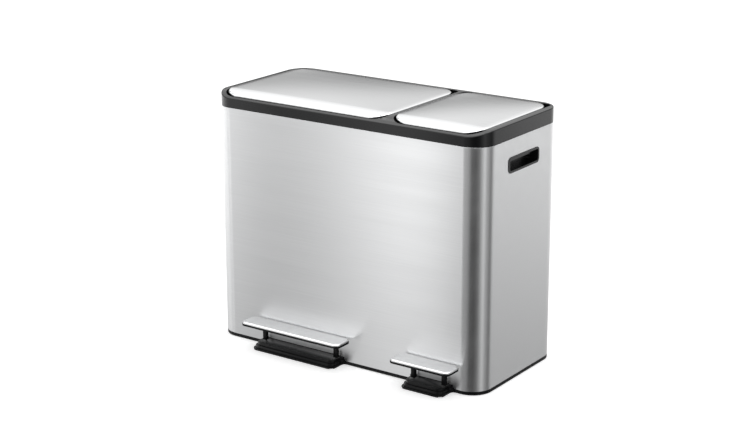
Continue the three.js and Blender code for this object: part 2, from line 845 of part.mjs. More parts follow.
function pedalTread({ tread }) {
  return cap({
    area: tread,
    radius: treadCorner,
    surface: () => treadHeight,
    footZ: treadFoot,
    gauge: treadGauge,
    edgeRound: treadEdgeRound,
    edgeSteps: 3,
    shares: [],
  });
}

// The black frame under a tread, with the two posts that stand on the lever's tongues.
function pedalFrame({ tread, posts }) {
  const inset = treadGauge + seatGap;
  const lipTop = treadFoot - seatGap;
  const lipFoot = lipTop - treadLip;
  const core = grow(tread, -inset - treadEdgeRound / 2);
  const plate = roundedBlock(core, treadCorner - inset, lipTop - over, treadHeight - inset, 5);
  const lip = roundedBlock(tread, treadCorner, lipFoot, lipTop, 5);
  const foot = tongueHeight + leverGauge + seatGap;
  const legs = posts.map((x) => {
    const area = {
      x0: x - postWidth / 2,
      x1: x + postWidth / 2,
      y0: postY - postDepth / 2,
      y1: postY + postDepth / 2,
    };
    const hole = upright(screwRadius + seatGap, x, postY, 0, foot + screwLength, 12);
    return roundedBlock(area, 1.2, foot, lipFoot + over, 3).subtract(hole);
  });
  return unite([plate, lip, ...legs]);
}

// A pressed lever: tongues under the posts, a sleeve on the axle, and a tail that carries the
// rod's ear. It is one bent strip seen from the side, cut to its outline seen from above.
function pedalLever(place) {
  const { centre, posts, tongues, rod } = place;
  const half = leverHalf(place);
  const thick = leverGauge;
  const tongueEnd = postY - tongueOverrun;
  const bend = axleY - pivotSetback * 0.55;
  const tailEnd = rod.y - earRadius + 1;
  const slope = (pivotHeight - rod.lowZ) / (rod.y - axleY);
  const tailZ = pivotHeight - slope * (tailEnd - axleY) - thick / 2;
  const strip = [
    [tongueEnd, tongueHeight],
    [bend, tongueHeight],
    [axleY, pivotHeight - thick / 2],
    [tailEnd, tailZ],
    [tailEnd, tailZ + thick],
    [axleY, pivotHeight + thick / 2],
    [bend - thick / 2, tongueHeight + thick],
    [tongueEnd, tongueHeight + thick],
  ];
  const plan = [
    [centre - half, tongueEnd],
    [tongues[0] + tongueWidth / 2, tongueEnd],
    [tongues[0] + tongueWidth / 2, bend],
    [tongues[1] - tongueWidth / 2, bend],
    [tongues[1] - tongueWidth / 2, tongueEnd],
    [centre + half, tongueEnd],
    [centre + half, axleY + thick],
    [centre + tailRoot / 2, axleY + tongueWidth],
    [centre + tailWidth / 2, axleY + tailRoot],
    [centre + tailWidth / 2, tailEnd],
    [centre - tailWidth / 2, tailEnd],
    [centre - tailWidth / 2, axleY + tailRoot],
    [centre - tailRoot / 2, axleY + tongueWidth],
    [centre - half, axleY + thick],
  ];
  const strap = slab(strip, centre - half, centre + half).intersect(prism(plan, 0, high));
  const sleeve = barAlongX(sleeveRadius, centre - half, centre + half, axleY, pivotHeight, 24);
  const earX = centre + rodToEar;
  const ear = unite([
    barAlongX(earRadius, earX, earX + earWidth, rod.y, rod.lowZ, 20),
    box(earX, earX + earWidth, tailEnd - tailWidth / 2, rod.y, tailZ, tailZ + thick * 1.6),
  ]);
  const bore = axleRadius + runningGap;
  const sockets = posts.flatMap((x) => [
    upright(screwRadius + seatGap, x, postY, 0, tongueHeight + thick + over, 12),
    upright(screwHeadRadius + seatGap, x, postY, 0, tongueHeight + screwHeadHeight + seatGap, 16),
  ]);
  return unite([strap, sleeve, ear]).subtract(
    unite([
      barAlongX(bore, centre - half - over, centre + half + over, axleY, pivotHeight, 20),
      barAlongX(rodRadius + runningGap, earX - over, earX + earWidth + over, rod.y, rod.lowZ, 16),
      ...sockets,
    ]),
  );
}

function pedalAxle(place) {
  const half = leverHalf(place) + sideGap + bearingCheek + over;
  return barAlongX(axleRadius, -half, half, 0, 0, 20);
}

function pedalScrew() {
  const head = upright(screwHeadRadius, 0, 0, 0, screwHeadHeight, 16);
  const shank = upright(screwRadius, 0, 0, screwHeadHeight / 2, screwLength, 12);
  return head.add(shank);
}

// A straight rod with both ends bent across, through the lever's ear and the lid's lever.
function liftRod({ centre, rod }) {
  const arcSteps = 4;
  const corner = (x, z, from) =>
    Array.from({ length: arcSteps + 1 }, (_, step) => {
      const angle = from + (step / arcSteps) * (Math.PI / 2);
      return [x - rodBend * Math.sin(angle), z - rodBend * Math.cos(angle)];
    });
  const x = centre + rodBend;
  const path = [
    [centre + rodHook, rod.lowZ],
    ...corner(x, rod.lowZ + rodBend, 0),
    ...corner(x, rod.highZ - rodBend, Math.PI / 2),
    [centre + rodHook, rod.highZ],
  ];
  return bentBar(path, rod.y, rodRadius);
}

// ---- Grips, buckets and feet -------------------------------------------------------------------

// A cup behind a thin rim. Its upper part is closed off by a lip that the fingers pull on.
function gripInsert(side) {
  const face = bodyWidth / 2;
  const span = (near, far) => (side > 0 ? [near, far] : [-far, -near]);
  const rim = gripPrism(0, ...span(face + seatGap, face + seatGap + gripRimProud));
  const clearance = gripRim + seatGap;
  const sleeve = gripPrism(-clearance, ...span(face - gripDepth, face + seatGap + over / 2));
  const inside = gripPrism(
    -clearance - gripWall,
    ...span(face - gripDepth + gripWall, face + seatGap + gripRimProud + over),
  );
  const roof = rimTop - gripBelowRim + gripHeight / 2 - clearance - gripWall;
  const [lipX0, lipX1] = span(face - gripDepth / 2, face - gripDepth / 2 + gripWall);
  const halfLength = gripWidth / 2 - clearance - gripWall - over;
  const lip = box(
    lipX0,
    lipX1,
    gripOffset - halfLength,
    gripOffset + halfLength,
    roof - gripLip,
    roof + gripWall / 2,
  );
  return rim.add(sleeve).subtract(inside).add(lip);
}

function bucket({ rim, opening }) {
  const seat = seatTop + seatGap;
  const mouth = grow(opening, -over);
  const ring = (area, corner, z) => outline(area, corner, 6).map(([x, y]) => [x, y, z]);
  const foot = pivotHeight + sleeveRadius + bucketLeverGap;
  const vessel = (inset, floorZ, topZ) => {
    const lean = (z) => (bucketTaper * (seat - z)) / (seat - foot);
    const level = (z, extra) => {
      const by = inset + lean(z) + extra;
      return ring(grow(mouth, -by), bucketCorner - inset - extra, z);
    };
    const edge = [1, 0.3, 0].map((share) => {
      const z = floorZ + bucketFloorRound * (1 - Math.sqrt(1 - (1 - share) ** 2));
      return level(z, bucketFloorRound * share);
    });
    return loft([...edge, level(topZ, 0)]);
  };
  const flange = roundedBlock(rim, bucketCorner, seat, seat + bucketRim, 6);
  const outside = vessel(0, foot, seat + over).add(flange);
  const inside = vessel(bucketWall, foot + bucketWall, seat + bucketRim + over);
  const middle = (opening.x0 + opening.x1) / 2;
  const width = Math.min(handHoleWidth, (opening.x1 - opening.x0) * 0.6);
  const holeZ = seat + bucketRim - handHoleDrop;
  const radius = handHoleHeight / 2;
  const reach = (width - handHoleHeight) / 2;
  const end = (x) => {
    const geometry = new THREE.CylinderGeometry(radius, radius, bodyDepth, 16);
    return toSolid(geometry.translate(x, 0, holeZ));
  };
  const hole = box(
    middle - reach,
    middle + reach,
    -bodyDepth / 2,
    bodyDepth / 2,
    holeZ - radius,
    holeZ + radius,
  );
  return outside
    .subtract(inside)
    .subtract(unite([hole, end(middle - reach), end(middle + reach)]));
}

function foot() {
  const height = footStand + footRecess - seatGap;
  return upright(footRadius, 0, 0, 0, height, 24);
}

// ---- Assembly --------------------------------------------------------------------------------

const bin = new THREE.Group();
bin.position.y = treadReach / 2;

function put(name, solid, makeMaterial, x = 0, y = 0, z = 0) {
  const mesh = new THREE.Mesh(toGeometry(solid), makeMaterial());
  mesh.name = name;
  mesh.position.set(x, y, z);
  bin.add(mesh);
}

put('body_shell', bodyShell(), brushedSteel);
put('base_moulding', baseMoulding(), blackPlastic);
put('top_collar', topCollar(), blackPlastic);
put('grip_insert_left', gripInsert(-1), blackPlastic);
put('grip_insert_right', gripInsert(1), blackPlastic);
footPlaces.forEach(([x, y], k) => put(`foot_${k + 1}`, foot(), rubber, x, y, 0));

for (const place of stations) {
  const { name, area, hinge, brackets, centre, posts } = place;
  put(`lid_skin_${name}`, lidSkin(place), brushedSteel);
  put(`lid_pan_${name}`, lidPan(place), blackPlastic);
  const halfBracket = knuckleWidth / 2 + sideGap + cheekWidth;
  const shortPin = 2 * halfBracket + over;
  const longPin = shortPin + seatGap + damperLength;
  const left = brackets[0] - halfBracket - over / 2;
  const right = brackets[1] - halfBracket - over / 2;
  put(`hinge_pin_${name}_left`, hingePin(shortPin), plainSteel, left, hinge.y, hinge.z);
  put(`hinge_pin_${name}_right`, hingePin(longPin), plainSteel, right, hinge.y, hinge.z);
  const damperX = brackets[1] + halfBracket + seatGap;
  put(`lid_damper_${name}`, lidDamper(), blackPlastic, damperX, hinge.y, hinge.z);
  const bumperY = area.y0 + panFlange / 2;
  const bumperXs = { left: area.x0 + bumperInset, right: area.x1 - bumperInset };
  for (const [side, x] of Object.entries(bumperXs)) {
    put(`lid_bumper_${name}_${side}`, lidBumper(), rubber, x, bumperY, shelfTop + seatGap);
  }
  put(`pedal_tread_${name}`, pedalTread(place), brushedSteel);
  put(`pedal_frame_${name}`, pedalFrame(place), blackPlastic);
  put(`pedal_lever_${name}`, pedalLever(place), plainSteel);
  put(`pedal_axle_${name}`, pedalAxle(place), plainSteel, centre, axleY, pivotHeight);
  ['left', 'right'].forEach((side, k) =>
    put(`pedal_screw_${name}_${side}`, pedalScrew(), plainSteel, posts[k], postY, tongueHeight),
  );
  put(`lift_rod_${name}`, liftRod(place), plainSteel);
  put(`bucket_${name}`, bucket(place), greyPlastic);
}

export default bin;
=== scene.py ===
"""The looks of a double recycling bin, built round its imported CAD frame.

A rolled steel body stands on a black base and carries a black top collar. Two steel-clad lids,
two treads, their floor guards and the side grips are modelled here; metres, +Z up, front at -Y.
"""

import json
import math

import bmesh
import bpy
from bpy.props import FloatProperty, FloatVectorProperty, IntProperty, PointerProperty
from mathutils import Matrix, Quaternion, Vector


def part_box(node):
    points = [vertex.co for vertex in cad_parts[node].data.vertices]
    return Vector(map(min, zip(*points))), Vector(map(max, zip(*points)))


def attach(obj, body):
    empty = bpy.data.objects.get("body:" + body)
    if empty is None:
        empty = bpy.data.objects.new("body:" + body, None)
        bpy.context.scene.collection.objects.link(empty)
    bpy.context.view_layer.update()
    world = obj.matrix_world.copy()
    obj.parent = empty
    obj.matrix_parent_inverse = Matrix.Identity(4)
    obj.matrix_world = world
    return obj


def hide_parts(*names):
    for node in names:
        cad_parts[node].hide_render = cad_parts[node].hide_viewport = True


bl_info = {
    "name": "Double Recycling Bin",
    "version": (1, 0, 0),
    "blender": (4, 5, 0),
    "location": "View3D > Sidebar > Bin",
    "description": "Builds the finished surfaces of a double pedal bin round its CAD frame",
    "category": "Object",
}

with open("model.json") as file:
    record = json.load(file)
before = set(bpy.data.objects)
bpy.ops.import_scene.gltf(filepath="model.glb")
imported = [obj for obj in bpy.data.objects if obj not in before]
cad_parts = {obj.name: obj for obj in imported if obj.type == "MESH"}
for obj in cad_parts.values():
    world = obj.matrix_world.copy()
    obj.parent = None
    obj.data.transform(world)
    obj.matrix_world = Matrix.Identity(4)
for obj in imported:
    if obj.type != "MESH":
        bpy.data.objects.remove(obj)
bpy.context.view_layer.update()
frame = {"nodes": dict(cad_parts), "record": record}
SIZES = ("large", "small")
SIDES = ("left", "right")

# ---- Sizes and colours that a user would change ------------------------------------------------


def length(name, description, default):
    """A size in metres, shown to a hundredth of a millimetre."""
    return FloatProperty(
        name=name, description=description, default=default, unit="LENGTH", precision=5
    )


def colour(name, description, default):
    """A base colour, as the shader reads it."""
    return FloatVectorProperty(
        name=name, description=description, default=default, size=3, min=0, max=1, subtype="COLOR"
    )


class BinShape(bpy.types.PropertyGroup):
    """Sizes of the finished surfaces."""

    body_corner: length("Body corner", "Radius of the body's upright corners", 0.0395)
    body_gauge: length("Body steel", "Thickness of the body's steel", 0.0008)
    notch_inset: length("Notch inset", "From a tread's end to the notch in the steel", 0.008)
    notch_curve: length("Notch curve", "Run of the concave curve at a notch's ends", 0.017)
    notch_top: length("Notch top", "Height of the notches' upper edge", 0.0156)
    strip_top: length("Strip top", "Height of the base's black strip", 0.007)
    grip_rim: length("Grip rim", "How far a grip's rim laps over the steel", 0.002)
    grip_corner: length("Grip corner", "Radius of the grip slots' corners", 0.006)
    lid_corner: length("Lid corner", "Radius of the lids' corners in plan", 0.034)
    lid_setback: length("Lid setback", "From the CAD lid's front edge back to the steel's", 0.0014)
    lid_edge: length("Lid edge", "Radius of the lids' folded edge", 0.0026)
    lid_crown: length("Lid crown", "How far a lid bulges in its middle", 0.00265)
    lid_proud: length("Lid step", "How far a lid's edge stands above the collar", 0.0018)
    brow_run: length("Brow run", "How far back the lids' roll-down begins", 0.0395)
    brow_drop: length("Brow drop", "How far the front rolls down", 0.0093)
    rim_height: length("Rim height", "Height of the collar's top at the sides", 0.4785)
    skin_gauge: length("Lid steel", "Thickness of the lids' steel", 0.0008)
    tread_corner: length("Tread corner", "Radius of the treads' corners in plan", 0.0115)
    tread_roll: length("Tread roll", "Radius of the treads' rolled edge", 0.0035)
    tread_rise: length("Tread rise", "How far the treads' steel ends above its CAD skirt", 0.0009)
    tread_gauge: length("Tread steel", "Thickness of the treads' steel", 0.001)
    steel_edge: length("Steel edge", "Edge radius of the body's steel", 0.00032)
    moulded_edge: length("Moulded edge", "Edge radius of the plastic mouldings", 0.0006)
    guard_edge: length("Guard edge", "Edge radius of the floor guards' steps", 0.0011)
    grip_edge: length("Grip edge", "Edge radius of the grips", 0.0013)
    bucket_edge: length("Bucket edge", "Edge radius of the buckets", 0.0008)
    corner_steps: IntProperty(
        name="Corner steps", description="Segments in a rounded corner", default=24, min=4, max=48
    )


class BinFinish(bpy.types.PropertyGroup):
    """Colours and roughness of the finishes."""

    steel: colour("Steel", "Brushed stainless steel", (0.70, 0.705, 0.71))
    steel_roughness: FloatProperty(
        name="Steel roughness", description="Roughness of the brushed steel", default=0.3,
        min=0, max=1, subtype="FACTOR",
    )
    steel_grain: FloatProperty(
        name="Steel grain", description="Brush lines in one metre", default=900, min=50, max=4000
    )
    black: colour("Black", "Collar, base, guards and grips", (0.0036, 0.0038, 0.0042))
    liner: colour("Liner", "Inner buckets", (0.045, 0.047, 0.05))
    zinc: colour("Zinc", "Levers, rods and pins", (0.52, 0.52, 0.51))
    rubber: colour("Rubber", "Feet and bumpers", (0.012, 0.012, 0.012))


class BinStudio(bpy.types.PropertyGroup):
    """Camera and light."""

    lens: FloatProperty(
        name="Lens", description="Focal length", default=83.87, unit="CAMERA"
    )
    camera_at: FloatVectorProperty(
        name="Camera place", description="Where the camera stands",
        default=(1.7726, -2.5436, 1.1918), size=3, subtype="TRANSLATION", unit="LENGTH",
    )
    aim: FloatVectorProperty(
        name="Camera aim", description="The point in the middle of the view",
        default=(-0.0143, 0.0136, 0.2444), size=3, subtype="TRANSLATION", unit="LENGTH",
    )
    roll: FloatProperty(
        name="Camera roll", description="Turn about the line of sight",
        default=math.radians(-0.12), subtype="ANGLE", unit="ROTATION",
    )
    room: FloatProperty(
        name="Room light", description="Level of the even light in the room", default=0.9,
        min=0, max=4,
    )


# ---- Meshes ------------------------------------------------------------------------------------

# Angles between faces, in degrees.
SHARP = 32  # edges past this are shaded sharp
FOLD_SHARP = 50  # the same on pressed steel, whose folds are shaded smooth
ROUNDED = 40  # edges past this are rounded
COPLANAR = 0.6  # faces nearer than this lie on one plane
# Distances in metres.
WELD = 2e-6  # corners nearer than this are one
ON_PLANE = 1e-7
LEVEL = 1e-5  # points nearer than this in height are level
OVERRUN = 0.01  # how far a cutter reaches past what it cuts

ALIGNED = 0.99  # cosine from which two directions are the same
SOFT_STEPS = 2  # segments in a softened edge
FOLD_STEPS = 6  # segments in a folded edge of steel


def unit(axis):
    """The direction of an axis, which is given by its number."""
    return Vector(i == axis for i in range(3))


def block(bm, low, high, corner=0.0, steps=8, axis=2):
    """Fills an empty bmesh with a box whose four edges along one axis are rounded."""
    low, high = Vector(low), Vector(high)
    bmesh.ops.create_cube(bm, size=1)
    bmesh.ops.scale(bm, vec=high - low, verts=bm.verts)
    bmesh.ops.translate(bm, vec=(low + high) / 2, verts=bm.verts)
    if corner > 0:
        along = unit(axis)
        edges = [
            e
            for e in bm.edges
            if abs((e.verts[0].co - e.verts[1].co).normalized().dot(along)) > ALIGNED
        ]
        bmesh.ops.bevel(
            bm, geom=edges, offset=corner, segments=steps, profile=0.5, affect="EDGES", material=-1
        )


def slice_at(bm, axis, places):
    """Adds edges right across a mesh at each place along an axis."""
    normal = unit(axis)
    for place in places:
        bmesh.ops.bisect_plane(
            bm, geom=[*bm.verts, *bm.edges, *bm.faces], dist=ON_PLANE,
            plane_co=normal * place, plane_no=normal,
        )


def object_from(bm, name, sharp=SHARP):
    """Turns a bmesh into an object, smooth apart from its sharp edges."""
    mesh = bpy.data.meshes.new(name)
    bm.to_mesh(mesh)
    bm.free()
    mesh.shade_smooth()
    mesh.set_sharp_from_angle(angle=math.radians(sharp))
    piece = bpy.data.objects.new(name, mesh)
    bpy.context.scene.collection.objects.link(piece)
    return piece


def piece_from(bm, name, sharp=SHARP):
    """Turns a new shape into an object, with its faces pointing outwards."""
    bmesh.ops.recalc_face_normals(bm, faces=bm.faces)
    return object_from(bm, name, sharp)


def merged_copy(node, name):
    """A clean copy of a CAD node: corners merged and flat areas joined."""
    bm = bmesh.new()
    bm.from_mesh(frame["nodes"][node].data)
    bmesh.ops.remove_doubles(bm, verts=bm.verts, dist=WELD)
    bmesh.ops.dissolve_limit(
        bm, angle_limit=math.radians(COPLANAR), verts=bm.verts, edges=bm.edges,
        use_dissolve_boundaries=False,
    )
    return object_from(bm, name)


def settle(piece, sharp=None):
    """Applies a piece's modifiers. With an angle, edges past it are marked sharp."""
    graph = bpy.context.evaluated_depsgraph_get()
    graph.update()
    old = piece.data
    piece.data = bpy.data.meshes.new_from_object(piece.evaluated_get(graph), depsgraph=graph)
    piece.data.name = piece.name
    piece.modifiers.clear()
    bpy.data.meshes.remove(old)
    if sharp:
        piece.data.shade_smooth()
        piece.data.set_sharp_from_angle(angle=math.radians(sharp))


def thicken(piece, gauge, sharp=None):
    """Gives a surface the thickness of its steel, inwards."""
    sheet = piece.modifiers.new("sheet", "SOLIDIFY")
    sheet.thickness = gauge
    sheet.offset = -1
    settle(piece, sharp)


def cut(piece, *cutters, operation="DIFFERENCE"):
    """Cuts closed shapes out of a closed piece, or keeps what lies in them."""
    for cutter in cutters:
        hole = piece.modifiers.new("cut", "BOOLEAN")
        hole.operation = operation
        hole.solver = "EXACT"
        hole.object = cutter
    settle(piece, SHARP)
    for cutter in cutters:
        bpy.data.objects.remove(cutter)


def soften(piece, width):
    """Rounds a piece's sharp edges a little; its flat faces keep their flat shading."""
    edge = piece.modifiers.new("edge", "BEVEL")
    edge.width = width
    edge.segments = SOFT_STEPS
    edge.limit_method = "ANGLE"
    edge.angle_limit = math.radians(ROUNDED)
    edge.miter_outer = "MITER_ARC"
    edge.harden_normals = True
    settle(piece)


def dress(piece, body, slot, finish, *nodes):
    """Gives a piece its finish and sets it on its body in place of its CAD nodes."""
    piece.data.materials.clear()
    piece.data.materials.append(finish)
    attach(piece, body)
    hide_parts(*nodes)


# ---- Node trees --------------------------------------------------------------------------------

WHITE = (1, 1, 1, 1)
NOISE_SPAN = (0.3, 0.7)  # where most of a noise's values lie


def grey(level):
    return (level, level, level, 1)


def shade(tone, by):
    """A darker or paler version of a colour, with its alpha."""
    return (*(min(1, c * by) for c in tone), 1)


def material_named(name):
    return bpy.data.materials.get(name) or bpy.data.materials.new(name)


class Nodes:
    """A short way to lay out the nodes of a material or of the world.

    An input is a value, or the output of another node that it is linked to.
    """

    def __init__(self, owner):
        owner.use_nodes = True
        self.tree = owner.node_tree
        self.tree.nodes.clear()

    def add(self, kind, inputs=None, **settings):
        node = self.tree.nodes.new(kind)
        for name, value in settings.items():
            setattr(node, name, value)
        self.feed(node, inputs or {})
        return node

    def feed(self, node, inputs):
        for socket, value in inputs.items():
            if isinstance(value, bpy.types.NodeSocket):
                self.tree.links.new(value, node.inputs[socket])
            else:
                node.inputs[socket].default_value = value

    def map_range(self, value, low, high, to_low=0, to_high=1, **settings):
        """Maps one span of values onto another."""
        inputs = {
            "Value": value, "From Min": low, "From Max": high, "To Min": to_low, "To Max": to_high,
        }
        return self.add("ShaderNodeMapRange", inputs, **settings).outputs["Result"]

    def mix(self, factor, a, b, **settings):
        """Mixes two colours."""
        inputs = {"Factor": factor, "A": a, "B": b}
        return self.add("ShaderNodeMix", inputs, data_type="RGBA", **settings).outputs["Result"]

    def ramp(self, value, stops, unit_size=1.0, interpolation="EASE"):
        """Greys along a value, from stops of (place, level); a place counts in unit_size."""
        low, high = stops[0][0], stops[-1][0]
        node = self.add(
            "ShaderNodeValToRGB", {"Fac": self.map_range(value, low * unit_size, high * unit_size)}
        )
        node.color_ramp.interpolation = interpolation
        elements = node.color_ramp.elements
        while len(elements) < len(stops):
            elements.new(1)
        for element, (place, level) in zip(elements, stops):
            element.position = (place - low) / (high - low)
            element.color = grey(level)
        return node.outputs["Color"]


class Finish(Nodes):
    """A material for one finish: a shader and the noises that make it uneven."""

    def __init__(self, name):
        self.material = material_named(name)
        super().__init__(self.material)
        self.shader = self.add("ShaderNodeBsdfPrincipled")
        self.add("ShaderNodeOutputMaterial", {"Surface": self.shader.outputs["BSDF"]})

    def noise(self, scale, detail):
        """Noise on object coordinates, with its own scale along each axis."""
        where = self.add("ShaderNodeTexCoord")
        scaled = self.add(
            "ShaderNodeMapping", {"Vector": where.outputs["Object"], "Scale": scale}
        )
        inputs = {"Vector": scaled.outputs["Vector"], "Scale": 1, "Detail": detail}
        return self.add("ShaderNodeTexNoise", inputs).outputs["Fac"]

    def tint(self, noise, tone, dark, pale):
        """A colour that varies with a noise between a darker and a paler share of itself."""
        return self.mix(noise, shade(tone, dark), shade(tone, pale))

    def uneven(self, noise, level, by):
        """A level that varies with a noise by a share of itself."""
        return self.map_range(noise, *NOISE_SPAN, level * (1 - by), level * (1 + by))

    def bump(self, noise, strength, distance):
        inputs = {"Height": noise, "Strength": strength, "Distance": distance}
        return self.add("ShaderNodeBump", inputs).outputs["Normal"]


# ---- Finishes ----------------------------------------------------------------------------------

# Scales of the noises: how many of their forms fit in one metre.
BRUSH_ALONG = 6  # brush lines, along them
PATCH_ACROSS, PATCH_ALONG = 60, 1.2  # duller and brighter streaks of the brushing
PLASTIC_HAZE = 14
ZINC_CLOUD = 35
ZINC_ROUGHNESS = (0.3, 0.46)  # from its brightest to its dullest clouds


def brushed_steel(name, along, tangent_axis, turn, rough_share=1.0, stretch=0.72):
    """Stainless steel with fine straight brush lines along one axis.

    The highlight is stretched by a share, about a tangent axis, and turned by a share of a turn.
    """
    tones = bpy.context.scene.bin_finish
    steel = Finish(name)
    fine, broad = [tones.steel_grain] * 3, [PATCH_ACROSS] * 3
    fine[along], broad[along] = BRUSH_ALONG, PATCH_ALONG
    lines = steel.noise(fine, detail=3)
    patches = steel.noise(broad, detail=2)
    tangent = steel.add("ShaderNodeTangent", direction_type="RADIAL", axis=tangent_axis)
    steel.feed(steel.shader, {
        "Base Color": steel.tint(lines, tones.steel, dark=0.93, pale=1.06),
        "Metallic": 1,
        "Roughness": steel.uneven(patches, tones.steel_roughness * rough_share, by=0.06),
        "Anisotropic": stretch,
        "Anisotropic Rotation": turn,
        "Tangent": tangent.outputs["Tangent"],
        "Normal": steel.bump(lines, strength=0.06, distance=0.0001),
    })
    return steel.material


def moulded_plastic(name, tone, rough, grain, depth, gloss=0.5):
    """Moulded plastic of uneven gloss. Its faint texture has a grain, per metre, and a depth."""
    plastic = Finish(name)
    texture = plastic.noise([grain] * 3, detail=4)
    haze = plastic.noise([PLASTIC_HAZE] * 3, detail=3)
    plastic.feed(plastic.shader, {
        "Base Color": plastic.tint(haze, tone, dark=0.85, pale=1.2),
        "Roughness": plastic.uneven(haze, rough, by=0.12),
        "Specular IOR Level": gloss,
        "Normal": plastic.bump(texture, strength=0.25, distance=depth),
    })
    return plastic.material


def zinc_plate(name, tone):
    """Zinc-coated steel of the parts inside: satin, a little cloudy."""
    zinc = Finish(name)
    cloud = zinc.noise([ZINC_CLOUD] * 3, detail=5)
    zinc.feed(zinc.shader, {
        "Base Color": zinc.tint(cloud, tone, dark=0.82, pale=1.12),
        "Metallic": 1,
        "Roughness": zinc.map_range(cloud, *NOISE_SPAN, *ZINC_ROUGHNESS),
        "Normal": zinc.bump(cloud, strength=0.1, distance=0.0002),
    })
    return zinc.material


def finishes():
    """The bin's finishes by name, in the colours that the panel holds."""
    tones = bpy.context.scene.bin_finish
    return {
        "body": brushed_steel("brushed_wrap", along=0, tangent_axis="Z", turn=0.25),
        "lid": brushed_steel(
            "brushed_lids", along=0, tangent_axis="X", turn=0, rough_share=0.55, stretch=0.35
        ),
        "tread": brushed_steel("brushed_treads", along=1, tangent_axis="X", turn=0.25),
        "black": moulded_plastic(
            "black_moulded", tones.black, rough=0.24, grain=900, depth=0.00003, gloss=0.36
        ),
        "guard": moulded_plastic(
            "black_guards", tones.black, rough=0.27, grain=900, depth=0.00003, gloss=0.17
        ),
        "liner": moulded_plastic(
            "liner_moulded", tones.liner, rough=0.5, grain=700, depth=0.00008
        ),
        "rubber": moulded_plastic(
            "foot_rubber", tones.rubber, rough=0.75, grain=1200, depth=0.0001
        ),
        "zinc": zinc_plate("zinc_coated", tones.zinc),
    }


# ---- Body, collar and base ---------------------------------------------------------------------

CURVE_SEGMENTS = 64
FLAT_STRIP = 0.0006  # width of the strips beside the body's corners


def notch_cutter(tread, shape):
    """What is cut from the steel round a floor guard: a slot with concave curves at its ends."""
    low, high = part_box(tread)
    left, right = low.x + shape.notch_inset, high.x - shape.notch_inset
    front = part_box("body_shell")[0].y
    bm = bmesh.new()
    block(
        bm, (left, front - OVERRUN, -OVERRUN), (right, front + 2 * OVERRUN, shape.notch_top)
    )
    slot = piece_from(bm, "slot")
    rise = shape.notch_top - shape.strip_top
    curves = []
    for x in (left, right):
        bm = bmesh.new()
        bmesh.ops.create_cone(
            bm, cap_ends=True, segments=CURVE_SEGMENTS, radius1=1, radius2=1, depth=10 * OVERRUN,
            matrix=Matrix.Translation((x, front, shape.notch_top))
            @ Matrix.Diagonal((shape.notch_curve, 1, rise, 1))
            @ Matrix.Rotation(math.radians(90), 4, "X"),
        )
        curves.append(piece_from(bm, "curve"))
    cut(slot, *curves)
    return slot


def grip_cutter(node, shape):
    """The slot in the steel under a grip's rim."""
    low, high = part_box(node)
    rim = Vector((-2 * OVERRUN, shape.grip_rim, shape.grip_rim))
    bm = bmesh.new()
    block(bm, low + rim, high - rim, shape.grip_corner, axis=0)
    return piece_from(bm, "slot")


class BIN_OT_steel_body(bpy.types.Operator):
    """Build the rolled steel wrap, cut for the grips and round the floor guards"""

    bl_idname = "bin.steel_body"
    bl_label = "Steel body"

    def execute(self, context):
        shape = context.scene.bin_shape
        low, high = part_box("body_shell")
        bm = bmesh.new()
        block(bm, low, high, shape.body_corner, shape.corner_steps)
        # Narrow strips beside the corners keep the large flat faces evenly shaded.
        strip = shape.body_corner + FLAT_STRIP
        for axis in (0, 1):
            slice_at(bm, axis, (low[axis] + strip, high[axis] - strip))
        ends = [f for f in bm.faces if abs(f.normal.z) > ALIGNED]
        bmesh.ops.delete(bm, geom=ends, context="FACES")
        piece = piece_from(bm, "steel_body")
        thicken(piece, shape.body_gauge)
        cutters = [notch_cutter(f"pedal_tread_{size}", shape) for size in SIZES]
        cutters += [grip_cutter(f"grip_insert_{side}", shape) for side in SIDES]
        cut(piece, *cutters)
        soften(piece, shape.steel_edge)
        dress(piece, "cabinet", "brushed_steel", finishes()["body"], "body_shell")
        return {"FINISHED"}


class BIN_OT_mouldings(bpy.types.Operator):
    """Build the collar, the base with its floor guards, and the grips"""

    bl_idname = "bin.mouldings"
    bl_label = "Collar, base and grips"

    def execute(self, context):
        shape = context.scene.bin_shape
        finish = finishes()
        made = (
            ("top_collar", "collar_moulding", shape.moulded_edge, "black"),
            ("base_moulding", "base_and_guards", shape.guard_edge, "guard"),
            ("grip_insert_left", "grip_cup_left", shape.grip_edge, "black"),
            ("grip_insert_right", "grip_cup_right", shape.grip_edge, "black"),
        )
        for node, name, edge, tone in made:
            piece = merged_copy(node, name)
            soften(piece, edge)
            dress(piece, "cabinet", "black_plastic", finish[tone], node)
        return {"FINISHED"}


# ---- Black parts of the lids and treads --------------------------------------------------------

OUTLINE_OVERRUN = 0.001  # how far a lid's outline reaches above and below its pan
LIP_GAP = 0.0003  # from a CAD tread's skirt down to the top of the lip under it
LIP_REACH = 0.0001  # corners this near to that height belong to the lip's top


def lid_box(size, shape):
    """A lid's box, set back to where its steel begins."""
    low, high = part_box(f"lid_skin_{size}")
    low.y += shape.lid_setback
    return low, high


class BIN_OT_inner_lids(bpy.types.Operator):
    """Build the black pans inside the lids, with the steel's outline"""

    bl_idname = "bin.inner_lids"
    bl_label = "Inner lids"

    def execute(self, context):
        shape = context.scene.bin_shape
        black = finishes()["black"]
        for size in SIZES:
            node = f"lid_pan_{size}"
            piece = merged_copy(node, f"lid_inner_{size}")
            low, high = lid_box(size, shape)
            foot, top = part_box(node)
            low.z, high.z = foot.z - OUTLINE_OVERRUN, top.z + OUTLINE_OVERRUN
            bm = bmesh.new()
            block(bm, low, high, shape.lid_corner, shape.corner_steps)
            cut(piece, piece_from(bm, "outline"), operation="INTERSECT")
            soften(piece, shape.moulded_edge)
            dress(piece, f"lid_{size}", "black_plastic", black, node)
        return {"FINISHED"}


